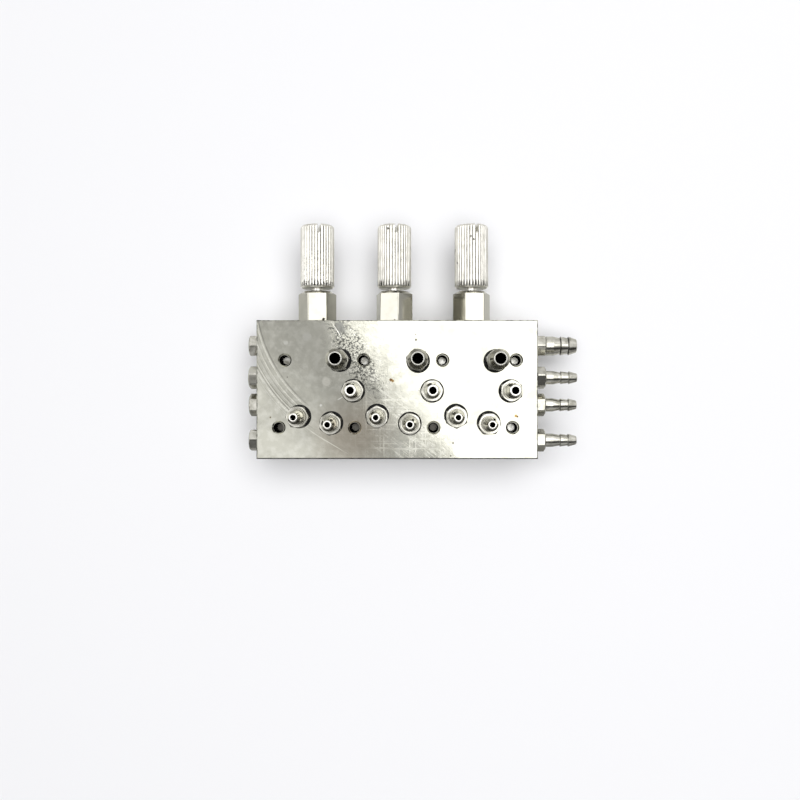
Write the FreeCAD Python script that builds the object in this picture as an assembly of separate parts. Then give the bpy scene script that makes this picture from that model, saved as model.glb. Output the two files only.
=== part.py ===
import FreeCAD, Part
import math
import os

# Three-station diaphragm valve block of nickel-plated brass, lying on its back.
# A manifold carries the hose barbs, the galleries and three needle valves. Rubber membranes lie in
# pockets of the pilot plate behind it and press on its flat joint face, and eight screws from the
# back hold the two together. Every station has a drive air, a water and a cooling air membrane and a
# needle valve that meters the water. Air from the signal gallery holds its membranes shut, until the
# station's signal port lets that air out.
# Millimetres and degrees. +Z leaves the face, +Y runs along the knobs, +X points to the inlets.
# The origin is the middle of the back. Threads are smooth, at their core diameters.

# Stations, along X, measured from each needle valve's axis
STATION_COUNT = 3
UPPER_SCREW_OFFSET = -8.85
LOWER_SCREW_OFFSET = 11.55
FIRST_SCREW_OFFSET = -10.6
LAST_SCREW_OFFSET = 12.6
LEFT_WALL = 6.5
RIGHT_WALL = 6.3
DRIVE_BARB_OFFSET = 6.8
WATER_BARB_OFFSET = 11.0
COOLING_BARB_OFFSET = -4.9
SIGNAL_BARB_OFFSET = 4.6
DRIVE_MEMBRANE_OFFSET = 4.7
WATER_MEMBRANE_OFFSET = 10.5
COOLING_MEMBRANE_OFFSET = -4.1
MEMBRANE_STAGGER = 0.6

# Rows, along Y: the first ones down from the edge that carries the needle valves, each next one as a
# step down from another row, and the galleries by the gap between their washers on the side faces
DRIVE_GALLERY_DROP = 6.8
WATER_GALLERY_GAP = 3.25
COOLING_GALLERY_GAP = 1.5
SIGNAL_GALLERY_GAP = 4.0
UPPER_SCREW_DROP = 11.69
DRIVE_BARB_DROP = 11.81
WATER_BARB_STEP = 8.88
WATER_MEMBRANE_STEP = 0.76
COOLING_MEMBRANE_STEP = 6.06
COOLING_BARB_STEP = 1.5
SIGNAL_BARB_STEP = 2.0
LOWER_SCREW_STEP = 1.1
FAR_WALL = 5.15

# Layers and depths, along Z
MANIFOLD_THICKNESS = 18.0
PILOT_PLATE_THICKNESS = 8.0
DRIVE_GALLERY_DEPTH = 13.0
NEEDLE_DEPTH = 7.0
LOWER_GALLERY_DEPTH = 8.0
EDGE_CHAMFER = 0.25

# Clearances
THREAD_GAP = 0.03
SEAT_GAP = 0.05
RUNNING_GAP = 0.05
SEAL_GAP = 0.02
PORT_RUN_OUT = 0.4

# Drillings inside the manifold
GALLERY_DIAMETER = 3.2
DRIVE_DRILLING_DIAMETER = 2.8
SMALL_DRILLING_DIAMETER = 1.6
SIGNAL_RESTRICTOR_DIAMETER = 0.8
DRILLING_EDGE = 0.2
WATER_DRILLING_INSET = 1.5

# Membranes and what works them
DRIVE_MEMBRANE_DIAMETER = 10.4
SMALL_MEMBRANE_DIAMETER = 9.0
MEMBRANE_RIM_WIDTH = 1.1
MEMBRANE_RIM_THICKNESS = 1.6
MEMBRANE_WEB_THICKNESS = 0.8
PILOT_GROOVE_WIDTH = 1.2
PILOT_GROOVE_FLOOR = 0.6

# Clamp screws: M4 socket heads, sunk into the back
SCREW_CORE_DIAMETER = 3.24
SCREW_LENGTH = 16.0
SCREW_END_CHAMFER = 0.55
SCREW_HEAD_DIAMETER = 7.0
SCREW_HEAD_HEIGHT = 4.0
SCREW_HEAD_SINK = 1.0
SCREW_SOCKET_FLATS = 3.0
SCREW_SOCKET_DEPTH = 2.0
SCREW_HEAD_CLEARANCE = 0.25
SCREW_SHANK_CLEARANCE = 0.5
SCREW_HOLE_CHAMFER = 0.35

# Hexagons, stubs and washers of the barbs and plugs: M5. The drive air's hexagons are taller.
FITTING_FLATS = 6.0
FITTING_HEX_HEIGHT = 2.6
DRIVE_HEX_HEIGHT = 3.5
FITTING_HEX_CROWN = 0.45
STUB_CORE_DIAMETER = 4.2
STUB_LENGTH = 4.4
WASHER_OVERHANG = 0.3
WASHER_THICKNESS = 0.6
WASHER_HOLE_CLEARANCE = 0.25

# Hose barbs: a collar, a waist and two ridges down to the tip
COLLAR_LENGTH = 2.2
WAIST_LENGTH = 2.3
RIDGE_LENGTH = 2.4
TIP_LENGTH = 2.5
LARGE_COLLAR_DIAMETER = 5.8
LARGE_ROOT_DIAMETER = 4.9
LARGE_RIDGE_DIAMETER = 5.7
LARGE_TIP_DIAMETER = 4.0
LARGE_BORE_DIAMETER = 2.9
MEDIUM_COLLAR_DIAMETER = 4.6
MEDIUM_ROOT_DIAMETER = 3.8
MEDIUM_RIDGE_DIAMETER = 4.4
MEDIUM_TIP_DIAMETER = 3.3
MEDIUM_BORE_DIAMETER = 2.0
SMALL_COLLAR_DIAMETER = 4.0
SMALL_ROOT_DIAMETER = 3.2
SMALL_RIDGE_DIAMETER = 3.8
SMALL_TIP_DIAMETER = 2.6
SMALL_BORE_DIAMETER = 1.55

# Needle valve bonnet: M8 fine in the block's edge
BONNET_FLATS = 9.8
BONNET_HEX_LENGTH = 9.0
BONNET_CROWN = 0.9
BONNET_CORE_DIAMETER = 7.2
BONNET_STUB_LENGTH = 8.0
BONNET_SEAL_THICKNESS = 1.0
BONNET_SEAL_WIDTH = 1.25

# Needle, seat and stem: the stem's thread is M4 x 0.5 inside the bonnet
ORIFICE_DIAMETER = 1.6
NEEDLE_CHAMBER_LENGTH = 3.0
NEEDLE_CHAMBER_DIAMETER = 4.4
NEEDLE_TIP_DIAMETER = 0.6
NEEDLE_DIAMETER = 2.4
NEEDLE_TAPER_LENGTH = 2.8
STEM_DIAMETER = 4.0
STEM_START = 1.0
STEM_SEAL_SETBACK = 4.0
STEM_SEAL_WIDTH = 1.1
STEM_SEAL_DEPTH = 0.6
NECK_DIAMETER = 3.0
NECK_INSET = 1.0

# Knob: straight V flutes and a screwdriver slot
KNOB_GAP = 1.0
KNOB_DIAMETER = 10.0
KNOB_LENGTH = 18.75
KNOB_FLUTES = 34
KNOB_FLUTE_DEPTH = 0.42
KNOB_END_CHAMFER = 1.1
KNOB_FOOT_CHAMFER = 0.8
KNOB_SLOT_WIDTH = 1.1
KNOB_SLOT_DEPTH = 2.4

# How far each hexagon and knob is turned where it was tightened
DRIVE_BARB_TURNS = [8.0, -14.0, -12.0]
WATER_BARB_TURNS = [8.0, 3.0, 30.0]
COOLING_BARB_TURNS = [-2.0, 32.0, 30.0]
SIGNAL_BARB_TURNS = [26.0, -18.0, 2.0]
INLET_TURNS = [0.0, 14.0, 30.0, 25.0]
PLUG_TURNS = [0.0, 20.0, 28.0, 9.0]
BONNET_TURNS = [1.6, -20.5, 5.0]
SLOT_TURNS = [12.0, 9.0, 17.0]

# What follows from the sizes above
FACE_Z = PILOT_PLATE_THICKNESS + MANIFOLD_THICKNESS
JOINT_Z = PILOT_PLATE_THICKNESS
NEEDLE_Z = FACE_Z - NEEDLE_DEPTH
WASHER_DIAMETER = FITTING_FLATS + 2 * WASHER_OVERHANG
WATER_GALLERY_DROP = DRIVE_GALLERY_DROP + WASHER_DIAMETER + WATER_GALLERY_GAP
COOLING_GALLERY_DROP = WATER_GALLERY_DROP + WASHER_DIAMETER + COOLING_GALLERY_GAP
SIGNAL_GALLERY_DROP = COOLING_GALLERY_DROP + WASHER_DIAMETER + SIGNAL_GALLERY_GAP
WATER_BARB_DROP = DRIVE_BARB_DROP + WATER_BARB_STEP
WATER_MEMBRANE_DROP = WATER_BARB_DROP + WATER_MEMBRANE_STEP
COOLING_MEMBRANE_DROP = WATER_BARB_DROP + COOLING_MEMBRANE_STEP
COOLING_BARB_DROP = COOLING_MEMBRANE_DROP + COOLING_BARB_STEP
SIGNAL_BARB_DROP = COOLING_BARB_DROP + SIGNAL_BARB_STEP
LOWER_SCREW_DROP = SIGNAL_BARB_DROP + LOWER_SCREW_STEP
MEMBRANES_SPAN = WATER_MEMBRANE_OFFSET - COOLING_MEMBRANE_OFFSET + SMALL_MEMBRANE_DIAMETER
STATION_PITCH = MEMBRANES_SPAN - MEMBRANE_STAGGER
STATIONS_SPAN = STATION_PITCH * (STATION_COUNT - 1)
BLOCK_LENGTH = LEFT_WALL - FIRST_SCREW_OFFSET + STATIONS_SPAN + LAST_SCREW_OFFSET + RIGHT_WALL
BLOCK_WIDTH = SIGNAL_GALLERY_DROP + FAR_WALL
LEFT_X = -BLOCK_LENGTH / 2
RIGHT_X = BLOCK_LENGTH / 2
KNOB_EDGE_Y = BLOCK_WIDTH / 2
FIRST_STATION_X = LEFT_X + LEFT_WALL - FIRST_SCREW_OFFSET
STATIONS = [FIRST_STATION_X + STATION_PITCH * i for i in range(STATION_COUNT)]
BARB_LENGTH = COLLAR_LENGTH + WAIST_LENGTH + RIDGE_LENGTH + TIP_LENGTH
PORT_DIAMETER = STUB_CORE_DIAMETER + 2 * THREAD_GAP
PORT_DEPTH = STUB_LENGTH + PORT_RUN_OUT
BONNET_BORE_DEPTH = BONNET_STUB_LENGTH + BONNET_SEAL_THICKNESS
SEAT_DROP = BONNET_BORE_DEPTH + NEEDLE_CHAMBER_LENGTH
SCREW_SEAT_Z = SCREW_HEAD_SINK + SCREW_HEAD_HEIGHT

RIGHT = FreeCAD.Vector(1, 0, 0)
LEFT = FreeCAD.Vector(-1, 0, 0)
AHEAD = FreeCAD.Vector(0, 1, 0)
UP = FreeCAD.Vector(0, 0, 1)
ORIGIN = FreeCAD.Vector(0, 0, 0)


def row(drop):
    """The y of a row that lies this far below the needle valves' edge."""
    return KNOB_EDGE_Y - drop


def placed(shape, position, axis, turn=0.0):
    """A shape made along +Z, turned about that axis, laid along another axis and moved."""
    rotation = FreeCAD.Rotation(UP, axis).multiply(FreeCAD.Rotation(UP, turn))
    moved = shape.copy()
    moved.Placement = FreeCAD.Placement(position, rotation)
    return moved


def turned_profile(profile):
    """The closed outline of (radius, height) pairs, turned all the way round +Z."""
    points = [FreeCAD.Vector(radius, 0, height) for radius, height in profile]
    outline = Part.makePolygon(points + points[:1])
    return Part.Face(outline).revolve(ORIGIN, UP, 360)


def hexagon(flats, height):
    """A hexagonal prism on z = 0 with two corners on the X axis."""
    corner = flats / math.sqrt(3)
    turns = [math.radians(60 * i) for i in range(7)]
    points = [FreeCAD.Vector(corner * math.cos(a), corner * math.sin(a), 0) for a in turns]
    return Part.Face(Part.makePolygon(points)).extrude(UP * height)


def crowned_hexagon(flats, height, crown):
    """A hexagonal prism whose upper corners are turned off to a cone, as on a nut."""
    corner = flats / math.sqrt(3)
    shoulder = height - crown
    flat_top = corner - crown / math.tan(math.radians(30))
    cone = turned_profile([(0, 0), (corner, 0), (corner, shoulder), (flat_top, height), (0, height)])
    return hexagon(flats, height).common(cone)


def drilling(diameter, position, axis, depth):
    """A plain hole from a position, along an axis."""
    return Part.makeCylinder(diameter / 2, depth, position, axis)


def barb(hex_height, collar, root, ridge, tip, bore):
    """A hose fitting on z = 0, its washer's seat: a stub below, a hexagon and a barb above."""
    shoulder = WASHER_THICKNESS + hex_height
    waist = shoulder + COLLAR_LENGTH
    first_ridge = waist + WAIST_LENGTH
    second_ridge = first_ridge + RIDGE_LENGTH
    end = second_ridge + TIP_LENGTH
    spine = turned_profile([
        (bore / 2, -STUB_LENGTH),
        (STUB_CORE_DIAMETER / 2, -STUB_LENGTH),
        (STUB_CORE_DIAMETER / 2, shoulder - FITTING_HEX_CROWN),
        (collar / 2, shoulder - FITTING_HEX_CROWN),
        (collar / 2, waist),
        (root / 2, first_ridge),
        (ridge / 2, first_ridge),
        (root / 2, second_ridge),
        (ridge / 2, second_ridge),
        (tip / 2, end),
        (bore / 2, end),
    ])
    nut = crowned_hexagon(FITTING_FLATS, hex_height, FITTING_HEX_CROWN)
    nut.translate(UP * WASHER_THICKNESS)
    nut = nut.cut(drilling(bore, ORIGIN, UP, shoulder))
    return spine.fuse(nut).removeSplitter()


def plug(hex_height):
    """A blanking plug on z = 0, its washer's seat."""
    nut = crowned_hexagon(FITTING_FLATS, hex_height, FITTING_HEX_CROWN)
    nut.translate(UP * WASHER_THICKNESS)
    stub = Part.makeCylinder(STUB_CORE_DIAMETER / 2, STUB_LENGTH + WASHER_THICKNESS, UP * -STUB_LENGTH)
    return nut.fuse(stub).removeSplitter()


def washer():
    """The flat sealing washer under a fitting's hexagon, on z = 0."""
    disc = Part.makeCylinder(WASHER_DIAMETER / 2, WASHER_THICKNESS)
    hole = Part.makeCylinder(STUB_CORE_DIAMETER / 2 + WASHER_HOLE_CLEARANCE, WASHER_THICKNESS)
    return disc.cut(hole)


def membrane(diameter):
    """A moulded rubber membrane with a bead round its rim. Its flat side is up, at z = 0."""
    rim = diameter / 2
    web = rim - MEMBRANE_RIM_WIDTH
    return turned_profile([
        (0, -MEMBRANE_WEB_THICKNESS),
        (web, -MEMBRANE_WEB_THICKNESS),
        (web, -MEMBRANE_RIM_THICKNESS),
        (rim, -MEMBRANE_RIM_THICKNESS),
        (rim, 0),
        (0, 0),
    ])


def clamp_screw():
    """A socket-head screw, pointing up, with the underside of its head at z = 0."""
    head = Part.makeCylinder(SCREW_HEAD_DIAMETER / 2, SCREW_HEAD_HEIGHT, UP * -SCREW_HEAD_HEIGHT)
    socket = hexagon(SCREW_SOCKET_FLATS, SCREW_SOCKET_DEPTH)
    socket.translate(UP * -SCREW_HEAD_HEIGHT)
    core = SCREW_CORE_DIAMETER / 2
    shank = turned_profile([
        (0, 0),
        (core, 0),
        (core, SCREW_LENGTH - SCREW_END_CHAMFER),
        (core - SCREW_END_CHAMFER, SCREW_LENGTH),
        (0, SCREW_LENGTH),
    ])
    return head.cut(socket).fuse(shank)


def bonnet():
    """The needle valve's body, with the edge of the block at z = 0 and the knob above."""
    nut = crowned_hexagon(BONNET_FLATS, BONNET_HEX_LENGTH, BONNET_CROWN)
    stub = Part.makeCylinder(BONNET_CORE_DIAMETER / 2, BONNET_STUB_LENGTH, UP * -BONNET_STUB_LENGTH)
    full_length = BONNET_STUB_LENGTH + BONNET_HEX_LENGTH
    bore = drilling(STEM_DIAMETER + 2 * RUNNING_GAP, UP * -BONNET_STUB_LENGTH, UP, full_length)
    return nut.fuse(stub).cut(bore)


def bonnet_seal():
    """The ring that the bonnet's end presses on the shoulder of its bore."""
    outer = BONNET_CORE_DIAMETER / 2
    ring = Part.makeCylinder(outer, BONNET_SEAL_THICKNESS, UP * -BONNET_BORE_DEPTH)
    hole = Part.makeCylinder(outer - BONNET_SEAL_WIDTH, BONNET_SEAL_THICKNESS, UP * -BONNET_BORE_DEPTH)
    return ring.cut(hole)


def stem_seal():
    """The packing ring in the stem's groove."""
    start = BONNET_HEX_LENGTH - STEM_SEAL_SETBACK
    outer = STEM_DIAMETER / 2 + RUNNING_GAP - SEAL_GAP
    inner = STEM_DIAMETER / 2 - STEM_SEAL_DEPTH + SEAL_GAP
    return Part.makeCylinder(outer, STEM_SEAL_WIDTH, UP * start).cut(
        Part.makeCylinder(inner, STEM_SEAL_WIDTH, UP * start)
    )


def knob():
    """The fluted knob on z = 0, with its slot across the far end."""
    crest = KNOB_DIAMETER / 2
    root = crest - KNOB_FLUTE_DEPTH
    points = []
    for i in range(2 * KNOB_FLUTES):
        angle = math.pi * i / KNOB_FLUTES
        radius = root if i % 2 else crest
        points.append(FreeCAD.Vector(radius * math.cos(angle), radius * math.sin(angle), 0))
    fluted = Part.Face(Part.makePolygon(points + points[:1])).extrude(UP * KNOB_LENGTH)
    turned_ends = turned_profile([
        (0, 0),
        (crest - KNOB_FOOT_CHAMFER, 0),
        (crest, KNOB_FOOT_CHAMFER),
        (crest, KNOB_LENGTH - KNOB_END_CHAMFER),
        (crest - KNOB_END_CHAMFER, KNOB_LENGTH),
        (0, KNOB_LENGTH),
    ])
    corner = FreeCAD.Vector(-KNOB_SLOT_WIDTH / 2, -crest, KNOB_LENGTH - KNOB_SLOT_DEPTH)
    slot = Part.makeBox(KNOB_SLOT_WIDTH, KNOB_DIAMETER, KNOB_SLOT_DEPTH, corner)
    return fluted.common(turned_ends).cut(slot)


def spindle(slot_turn):
    """Knob, neck, stem and needle, turned from one bar. The edge of the block is at z = 0."""
    knob_foot = BONNET_HEX_LENGTH + KNOB_GAP
    neck_foot = BONNET_HEX_LENGTH - NECK_INSET
    groove_floor = STEM_DIAMETER / 2 - STEM_SEAL_DEPTH
    groove_start = BONNET_HEX_LENGTH - STEM_SEAL_SETBACK - SEAL_GAP
    groove_end = groove_start + STEM_SEAL_WIDTH + 2 * SEAL_GAP
    slope = (NEEDLE_DIAMETER - NEEDLE_TIP_DIAMETER) / 2 / NEEDLE_TAPER_LENGTH
    tip = -SEAT_DROP - (ORIFICE_DIAMETER / 2 - SEAT_GAP - NEEDLE_TIP_DIAMETER / 2) / slope
    stem_foot = -BONNET_STUB_LENGTH + STEM_START
    shaft = turned_profile([
        (0, tip),
        (NEEDLE_TIP_DIAMETER / 2, tip),
        (NEEDLE_DIAMETER / 2, tip + NEEDLE_TAPER_LENGTH),
        (NEEDLE_DIAMETER / 2, stem_foot),
        (STEM_DIAMETER / 2, stem_foot),
        (STEM_DIAMETER / 2, groove_start),
        (groove_floor, groove_start),
        (groove_floor, groove_end),
        (STEM_DIAMETER / 2, groove_end),
        (STEM_DIAMETER / 2, neck_foot),
        (NECK_DIAMETER / 2, neck_foot),
        (NECK_DIAMETER / 2, knob_foot),
        (0, knob_foot),
    ])
    head = knob()
    head.rotate(ORIGIN, UP, slot_turn)
    head.translate(UP * knob_foot)
    return shaft.fuse(head)


def chamfered_block(bottom, top, chamfered_end):
    """A layer of the block, with the outer edges of one end face broken."""
    corner = FreeCAD.Vector(LEFT_X, -KNOB_EDGE_Y, bottom)
    layer = Part.makeBox(BLOCK_LENGTH, BLOCK_WIDTH, top - bottom, corner)
    rim = [e for e in layer.Edges if all(abs(v.Z - chamfered_end) < EDGE_CHAMFER for v in e.Vertexes)]
    return layer.makeChamfer(EDGE_CHAMFER, rim)


def screw_places():
    """Where the eight clamp screws stand, in x and y."""
    upper = [(x + UPPER_SCREW_OFFSET, row(UPPER_SCREW_DROP)) for x in STATIONS]
    upper.append((STATIONS[-1] + LAST_SCREW_OFFSET, row(UPPER_SCREW_DROP)))
    lower = [(x + LOWER_SCREW_OFFSET, row(LOWER_SCREW_DROP)) for x in STATIONS]
    lower.append((STATIONS[0] + FIRST_SCREW_OFFSET, row(LOWER_SCREW_DROP)))
    return upper + lower


def membrane_places(station):
    """The x, y and diameter of a station's membranes, by what they switch."""
    return {
        "drive_air": (station + DRIVE_MEMBRANE_OFFSET, row(DRIVE_BARB_DROP), DRIVE_MEMBRANE_DIAMETER),
        "water": (station + WATER_MEMBRANE_OFFSET, row(WATER_MEMBRANE_DROP), SMALL_MEMBRANE_DIAMETER),
        "cooling_air": (
            station + COOLING_MEMBRANE_OFFSET,
            row(COOLING_MEMBRANE_DROP),
            SMALL_MEMBRANE_DIAMETER,
        ),
    }


def face_ports(station):
    """The x, y and drilling of a station's four ports on the face, by what they carry."""
    return {
        "drive_air": (station + DRIVE_BARB_OFFSET, row(DRIVE_BARB_DROP), DRIVE_DRILLING_DIAMETER),
        "water": (station + WATER_BARB_OFFSET, row(WATER_BARB_DROP), SMALL_DRILLING_DIAMETER),
        "cooling_air": (station + COOLING_BARB_OFFSET, row(COOLING_BARB_DROP), SMALL_DRILLING_DIAMETER),
        "signal": (station + SIGNAL_BARB_OFFSET, row(SIGNAL_BARB_DROP), SMALL_DRILLING_DIAMETER),
    }


GALLERIES = {
    "drive_air": (row(DRIVE_GALLERY_DROP), FACE_Z - DRIVE_GALLERY_DEPTH),
    "water": (row(WATER_GALLERY_DROP), NEEDLE_Z),
    "cooling_air": (row(COOLING_GALLERY_DROP), FACE_Z - LOWER_GALLERY_DEPTH),
    "signal": (row(SIGNAL_GALLERY_DROP), FACE_Z - LOWER_GALLERY_DEPTH),
}


def water_drilling(station):
    """The slanted hole from a station's needle chamber down to its water membrane."""
    membrane_x, membrane_y, _ = membrane_places(station)["water"]
    foot = FreeCAD.Vector(membrane_x - WATER_DRILLING_INSET, membrane_y + WATER_DRILLING_INSET, JOINT_Z)
    chamber = FreeCAD.Vector(station, KNOB_EDGE_Y - SEAT_DROP + NEEDLE_CHAMBER_LENGTH / 2, NEEDLE_Z)
    way = (chamber - foot).normalize()
    start = foot - way * SMALL_DRILLING_DIAMETER
    return drilling(SMALL_DRILLING_DIAMETER, start, way, (chamber - start).Length)


def manifold():
    """The front layer: ports, galleries, needle valve bores and tapped holes."""
    cuts = []
    for y, z in GALLERIES.values():
        cuts.append(drilling(GALLERY_DIAMETER, FreeCAD.Vector(LEFT_X, y, z), RIGHT, BLOCK_LENGTH))
        cuts.append(drilling(PORT_DIAMETER, FreeCAD.Vector(LEFT_X, y, z), RIGHT, PORT_DEPTH))
        cuts.append(drilling(PORT_DIAMETER, FreeCAD.Vector(RIGHT_X, y, z), LEFT, PORT_DEPTH))
    for x in STATIONS:
        for port_x, port_y, passage in face_ports(x).values():
            mouth = FreeCAD.Vector(port_x, port_y, FACE_Z)
            cuts.append(drilling(PORT_DIAMETER, mouth, -UP, PORT_DEPTH))
            cuts.append(drilling(passage, mouth, -UP, MANIFOLD_THICKNESS))
        for name in ("drive_air", "cooling_air"):
            membrane_x, membrane_y, diameter = membrane_places(x)[name]
            inset = MEMBRANE_RIM_WIDTH + DRILLING_EDGE + SMALL_DRILLING_DIAMETER / 2
            foot = FreeCAD.Vector(membrane_x, membrane_y + diameter / 2 - inset, JOINT_Z)
            cuts.append(drilling(SMALL_DRILLING_DIAMETER, foot, UP, GALLERIES[name][1] - JOINT_Z))
        cuts.append(water_drilling(x))
        signal_foot = FreeCAD.Vector(x + SIGNAL_BARB_OFFSET, row(SIGNAL_GALLERY_DROP), JOINT_Z)
        restrictor = GALLERIES["signal"][1] - JOINT_Z
        cuts.append(drilling(SIGNAL_RESTRICTOR_DIAMETER, signal_foot, UP, restrictor))
        edge = FreeCAD.Vector(x, KNOB_EDGE_Y, NEEDLE_Z)
        seat = edge - AHEAD * SEAT_DROP
        cuts.append(drilling(BONNET_CORE_DIAMETER + 2 * THREAD_GAP, edge, -AHEAD, BONNET_BORE_DEPTH))
        cuts.append(drilling(NEEDLE_CHAMBER_DIAMETER, edge, -AHEAD, SEAT_DROP))
        cuts.append(drilling(ORIFICE_DIAMETER, seat, -AHEAD, WATER_GALLERY_DROP - SEAT_DROP))
    hole = SCREW_CORE_DIAMETER / 2 + THREAD_GAP
    rim = Part.makeCone(hole, hole + SCREW_HOLE_CHAMFER, SCREW_HOLE_CHAMFER)
    for x, y in screw_places():
        cuts.append(drilling(2 * hole, FreeCAD.Vector(x, y, JOINT_Z), UP, MANIFOLD_THICKNESS))
        cuts.append(placed(rim, FreeCAD.Vector(x, y, FACE_Z - SCREW_HOLE_CHAMFER), UP))
    return chamfered_block(JOINT_Z, FACE_Z, FACE_Z).cut(cuts)


def pilot_plate():
    """The back layer: membrane pockets, pilot grooves and sunk screw seats."""
    cuts = []
    groove_floor = JOINT_Z - MEMBRANE_RIM_THICKNESS - PILOT_GROOVE_FLOOR
    half = PILOT_GROOVE_WIDTH / 2
    for x in STATIONS:
        signal_x = x + SIGNAL_BARB_OFFSET
        for membrane_x, membrane_y, diameter in membrane_places(x).values():
            pocket = FreeCAD.Vector(membrane_x, membrane_y, JOINT_Z)
            cuts.append(drilling(diameter + 2 * RUNNING_GAP, pocket, -UP, MEMBRANE_RIM_THICKNESS))
            low = FreeCAD.Vector(min(signal_x, membrane_x) - half, membrane_y - half, groove_floor)
            reach = abs(signal_x - membrane_x) + PILOT_GROOVE_WIDTH
            cuts.append(Part.makeBox(reach, PILOT_GROOVE_WIDTH, JOINT_Z - groove_floor, low))
        low = FreeCAD.Vector(signal_x - half, row(SIGNAL_GALLERY_DROP) - half, groove_floor)
        reach = SIGNAL_GALLERY_DROP - DRIVE_BARB_DROP + PILOT_GROOVE_WIDTH
        cuts.append(Part.makeBox(PILOT_GROOVE_WIDTH, reach, JOINT_Z - groove_floor, low))
    for x, y in screw_places():
        foot = FreeCAD.Vector(x, y, 0)
        cuts.append(drilling(SCREW_HEAD_DIAMETER + 2 * SCREW_HEAD_CLEARANCE, foot, UP, SCREW_SEAT_Z))
        cuts.append(drilling(SCREW_CORE_DIAMETER + 2 * SCREW_SHANK_CLEARANCE, foot, UP, JOINT_Z))
    return chamfered_block(0, JOINT_Z, 0).cut(cuts)


def save(node, shape):
    """Write one node, and say what it holds."""
    shape.exportStep("parts/" + node + ".step")
    print(node, len(shape.Solids), "solids", round(shape.Volume, 2), "mm3", shape.isValid())


def main():
    """Make every node of the valve block."""
    os.makedirs("parts", exist_ok=True)
    save("manifold_block", manifold())
    save("pilot_plate", pilot_plate())
    save("clamp_screws", Part.makeCompound([
        placed(clamp_screw(), FreeCAD.Vector(x, y, SCREW_SEAT_Z), UP) for x, y in screw_places()
    ]))

    large = barb(
        DRIVE_HEX_HEIGHT, LARGE_COLLAR_DIAMETER, LARGE_ROOT_DIAMETER, LARGE_RIDGE_DIAMETER,
        LARGE_TIP_DIAMETER, LARGE_BORE_DIAMETER,
    )
    medium = barb(
        FITTING_HEX_HEIGHT, MEDIUM_COLLAR_DIAMETER, MEDIUM_ROOT_DIAMETER, MEDIUM_RIDGE_DIAMETER,
        MEDIUM_TIP_DIAMETER, MEDIUM_BORE_DIAMETER,
    )
    small = barb(
        FITTING_HEX_HEIGHT, SMALL_COLLAR_DIAMETER, SMALL_ROOT_DIAMETER, SMALL_RIDGE_DIAMETER,
        SMALL_TIP_DIAMETER, SMALL_BORE_DIAMETER,
    )
    face_barbs = {
        "drive_air": (large, DRIVE_BARB_TURNS),
        "water": (medium, WATER_BARB_TURNS),
        "cooling_air": (small, COOLING_BARB_TURNS),
        "signal": (small, SIGNAL_BARB_TURNS),
    }
    face_washers = []
    for i, x in enumerate(STATIONS):
        number = "_" + str(i + 1)
        for name, (port_x, port_y, _) in face_ports(x).items():
            seat = FreeCAD.Vector(port_x, port_y, FACE_Z)
            fitting, turns = face_barbs[name]
            save(name + "_barb" + number, placed(fitting, seat, UP, turns[i]))
            face_washers.append(placed(washer(), seat, UP))
        for name, (membrane_x, membrane_y, diameter) in membrane_places(x).items():
            pocket = FreeCAD.Vector(membrane_x, membrane_y, JOINT_Z)
            save(name + "_membrane" + number, placed(membrane(diameter), pocket, UP))
        edge = FreeCAD.Vector(x, KNOB_EDGE_Y, NEEDLE_Z)
        save("needle_bonnet" + number, placed(bonnet(), edge, AHEAD, BONNET_TURNS[i]))
        save("bonnet_seal" + number, placed(bonnet_seal(), edge, AHEAD))
        save("stem_seal" + number, placed(stem_seal(), edge, AHEAD))
        save("flow_knob" + number, placed(spindle(SLOT_TURNS[i]), edge, AHEAD))
    save("face_barb_washers", Part.makeCompound(face_washers))

    side_washers = []
    for i, (name, (y, z)) in enumerate(GALLERIES.items()):
        inlet_seat = FreeCAD.Vector(RIGHT_X, y, z)
        plug_seat = FreeCAD.Vector(LEFT_X, y, z)
        is_drive = name == "drive_air"
        fitting = large if is_drive else small
        blank = plug(DRIVE_HEX_HEIGHT if is_drive else FITTING_HEX_HEIGHT)
        save(name + "_inlet_barb", placed(fitting, inlet_seat, RIGHT, INLET_TURNS[i]))
        save(name + "_gallery_plug", placed(blank, plug_seat, LEFT, PLUG_TURNS[i]))
        side_washers.append(placed(washer(), inlet_seat, RIGHT))
        side_washers.append(placed(washer(), plug_seat, LEFT))
    save("side_port_washers", Part.makeCompound(side_washers))


main()
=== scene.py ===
"""Looks of a three-station diaphragm valve block: bright nickel plate, hose barbs and needle valves."""
import logging
import math
from dataclasses import dataclass, field, replace
from enum import Enum
from functools import reduce
from typing import Any, Callable

import bpy
import numpy as np
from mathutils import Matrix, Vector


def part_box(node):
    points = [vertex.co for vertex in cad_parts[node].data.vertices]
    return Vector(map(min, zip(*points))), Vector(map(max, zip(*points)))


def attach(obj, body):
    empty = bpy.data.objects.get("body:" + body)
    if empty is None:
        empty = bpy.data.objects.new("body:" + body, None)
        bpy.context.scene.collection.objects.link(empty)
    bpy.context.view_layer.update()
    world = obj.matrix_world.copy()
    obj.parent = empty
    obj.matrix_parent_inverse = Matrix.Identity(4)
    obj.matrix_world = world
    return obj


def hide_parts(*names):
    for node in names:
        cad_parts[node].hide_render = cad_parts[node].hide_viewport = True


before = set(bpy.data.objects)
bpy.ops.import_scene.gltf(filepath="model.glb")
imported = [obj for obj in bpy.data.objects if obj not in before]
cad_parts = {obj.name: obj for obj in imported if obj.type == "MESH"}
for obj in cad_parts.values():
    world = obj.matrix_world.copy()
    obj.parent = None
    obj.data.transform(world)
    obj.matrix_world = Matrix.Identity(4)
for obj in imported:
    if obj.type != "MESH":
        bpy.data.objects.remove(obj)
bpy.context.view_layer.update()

LOG = logging.getLogger("valve_block")
MM = 0.001
VALVE_BLOCK = "valve_block"
STATION_NUMBERS = (1, 2, 3)
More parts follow.
